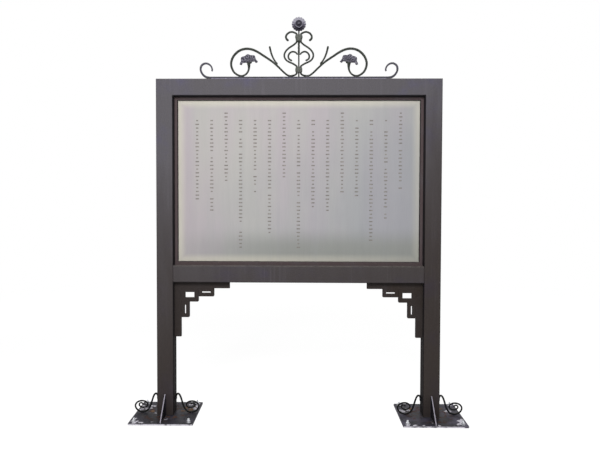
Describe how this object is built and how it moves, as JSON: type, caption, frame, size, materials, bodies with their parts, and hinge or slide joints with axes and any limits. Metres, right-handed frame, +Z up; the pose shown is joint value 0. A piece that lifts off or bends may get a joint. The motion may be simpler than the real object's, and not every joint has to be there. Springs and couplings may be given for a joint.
{
  "type": "notice board",
  "caption": "Free-standing square-tube notice board on base plates, with a recessed bare metal plate, fret corner brackets, foot scrolls and a forged scroll crest.",
  "frame": {"origin": "on the ground, midway between the two posts and on the middle plane of their tubes", "axes": "+X to the right as a reader sees the board, -Y towards the reader, +Z up"},
  "size_m": [1.9988, 0.38, 2.4016],
  "materials": {
    "frame_paint": "semi-gloss dark grey-brown paint",
    "foot_paint": "worn dark blue-grey paint with mortar splashes",
    "scroll_iron": "forged bar under thin dark grey-green paint",
    "collar_iron": "lighter grey-green paint over a rough casting",
    "crest_castings": "bluish grey paint over a hammered casting",
    "notice_steel": "vertically brushed stainless sheet, bare",
    "backing_board": "painted plywood board",
    "zinc_screws": "zinc plated"
  },
  "bodies": {
    "root": {"left_post": "frame_paint", "right_post": "frame_paint", "top_rail": "frame_paint", "lower_rail": "frame_paint", "bead_top": "frame_paint", "bead_bottom": "frame_paint", "bead_left": "frame_paint", "bead_right": "frame_paint", "notice_plate": "notice_steel", "backing_panel": "backing_board", "rear_stop_top": "frame_paint", "rear_stop_bottom": "frame_paint", "rear_stop_left": "frame_paint", "rear_stop_right": "frame_paint", "stop_screws": "zinc_screws", "left_fret_angle": "frame_paint", "left_fret_ring": "frame_paint", "left_fret_upper_loop": "frame_paint", "left_fret_lower_loop": "frame_paint", "right_fret_angle": "frame_paint", "right_fret_ring": "frame_paint", "right_fret_upper_loop": "frame_paint", "right_fret_lower_loop": "frame_paint", "left_base_plate": "foot_paint", "right_base_plate": "foot_paint", "left_front_gusset": "frame_paint", "left_rear_gusset": "frame_paint", "right_front_gusset": "frame_paint", "right_rear_gusset": "frame_paint", "left_outer_foot_scroll": "scroll_iron", "left_inner_foot_scroll": "scroll_iron", "right_outer_foot_scroll": "scroll_iron", "right_inner_foot_scroll": "scroll_iron", "mounting_strip": "frame_paint", "strip_screws": "zinc_screws", "base_bar": "scroll_iron", "left_s_scroll": "scroll_iron", "right_s_scroll": "scroll_iron", "left_leaf": "crest_castings", "right_leaf": "crest_castings", "left_spur": "scroll_iron", "right_spur": "scroll_iron", "left_lyre_bar": "scroll_iron", "right_lyre_bar": "scroll_iron", "left_heart_curl": "scroll_iron", "right_heart_curl": "scroll_iron", "centre_stem": "scroll_iron", "upper_collar": "collar_iron", "lower_collar": "collar_iron", "rosette_petals": "crest_castings", "rosette_cup": "crest_castings", "rosette_boss": "crest_castings"}
  },
  "joints": []
}
